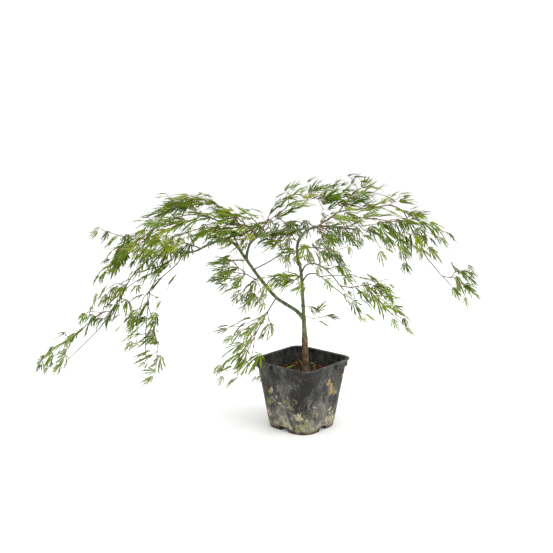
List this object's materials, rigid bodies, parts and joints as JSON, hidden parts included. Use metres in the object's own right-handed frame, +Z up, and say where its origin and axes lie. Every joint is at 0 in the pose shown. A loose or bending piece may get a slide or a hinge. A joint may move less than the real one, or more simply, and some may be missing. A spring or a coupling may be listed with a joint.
{
  "type": "potted weeping laceleaf maple",
  "caption": "Young weeping laceleaf maple, grafted low on a short stem, arching over both sides of its square black nursery pot.",
  "frame": {"origin": "centre of the pot's flat underside, where the plant stands", "axes": "+Z up along the pot; +X along the plant's widest spread, with the long weeping side towards -X; -Y is the front"},
  "size_m": [0.769, 0.315, 0.436],
  "materials": {
    "pot_plastic": "thin black moulded plastic, dulled by dust, lime and dried soil",
    "potting_mix": "loose red-brown bark and peat crumbs",
    "rootstock_bark": "brown-grey bark with green algae and fine lenticels",
    "green_bark": "smooth grey-green young bark with nodes",
    "shoot_bark": "thin red-brown shoots and leaf stalks",
    "leaf_fresh": "matt fresh green leaf, finely cut",
    "leaf_deep": "darker green leaf, finely cut",
    "leaf_pale": "pale grey-green leaf, finely cut"
  },
  "bodies": {
    "root": {"pot": "pot_plastic", "potting_mix": "potting_mix", "trunk": "rootstock_bark", "leader": "green_bark", "leader_arch": "green_bark", "left_bough": "green_bark", "left_arch": "green_bark", "left_long_shoot": "shoot_bark", "cross_bough": "green_bark", "low_left_shoot": "shoot_bark", "upper_right_shoot": "shoot_bark", "lower_right_shoot": "shoot_bark", "middle_shoot": "shoot_bark", "back_left_shoot": "shoot_bark", "back_right_shoot": "shoot_bark", "hanging_shoot": "shoot_bark", "right_tip_shoot": "shoot_bark", "left_shoulder": "leaf_fresh", "left_shoulder_front": "leaf_fresh", "left_crest": "leaf_fresh", "left_crest_front": "leaf_fresh", "left_front_fall": "leaf_fresh", "left_inner_fall": "leaf_fresh", "left_outer_fall": "leaf_fresh", "left_outer_back": "leaf_fresh", "left_back_fall": "leaf_fresh", "left_low_fall": "leaf_fresh", "left_low_back": "leaf_fresh", "left_tip": "leaf_fresh", "left_under_spray": "leaf_pale", "hanging_side": "leaf_pale", "hanging_tip": "leaf_pale", "under_arch": "leaf_fresh", "bough_side_spray": "leaf_fresh", "low_left_spray": "leaf_fresh", "low_left_inner": "leaf_fresh", "low_left_tip": "leaf_fresh", "cross_spray": "leaf_fresh", "leader_left_spray": "leaf_fresh", "leader_spray": "leaf_fresh", "leader_right_spray": "leaf_fresh", "top_left_spray": "leaf_fresh", "top_middle_spray": "leaf_fresh", "top_right_spray": "leaf_fresh", "right_crest": "leaf_pale", "right_crest_front": "leaf_pale", "right_shoulder": "leaf_pale", "right_inner_fall": "leaf_pale", "right_outer_fall": "leaf_pale", "right_front_fall": "leaf_pale", "right_back_fall": "leaf_pale", "right_wisp": "leaf_pale", "right_tip": "leaf_pale", "low_right_spray": "leaf_pale", "low_right_back": "leaf_pale", "low_right_inner": "leaf_pale", "low_right_tip": "leaf_pale", "back_left_spray": "leaf_fresh", "back_middle_spray": "leaf_fresh", "back_right_spray": "leaf_fresh"}
  },
  "joints": []
}
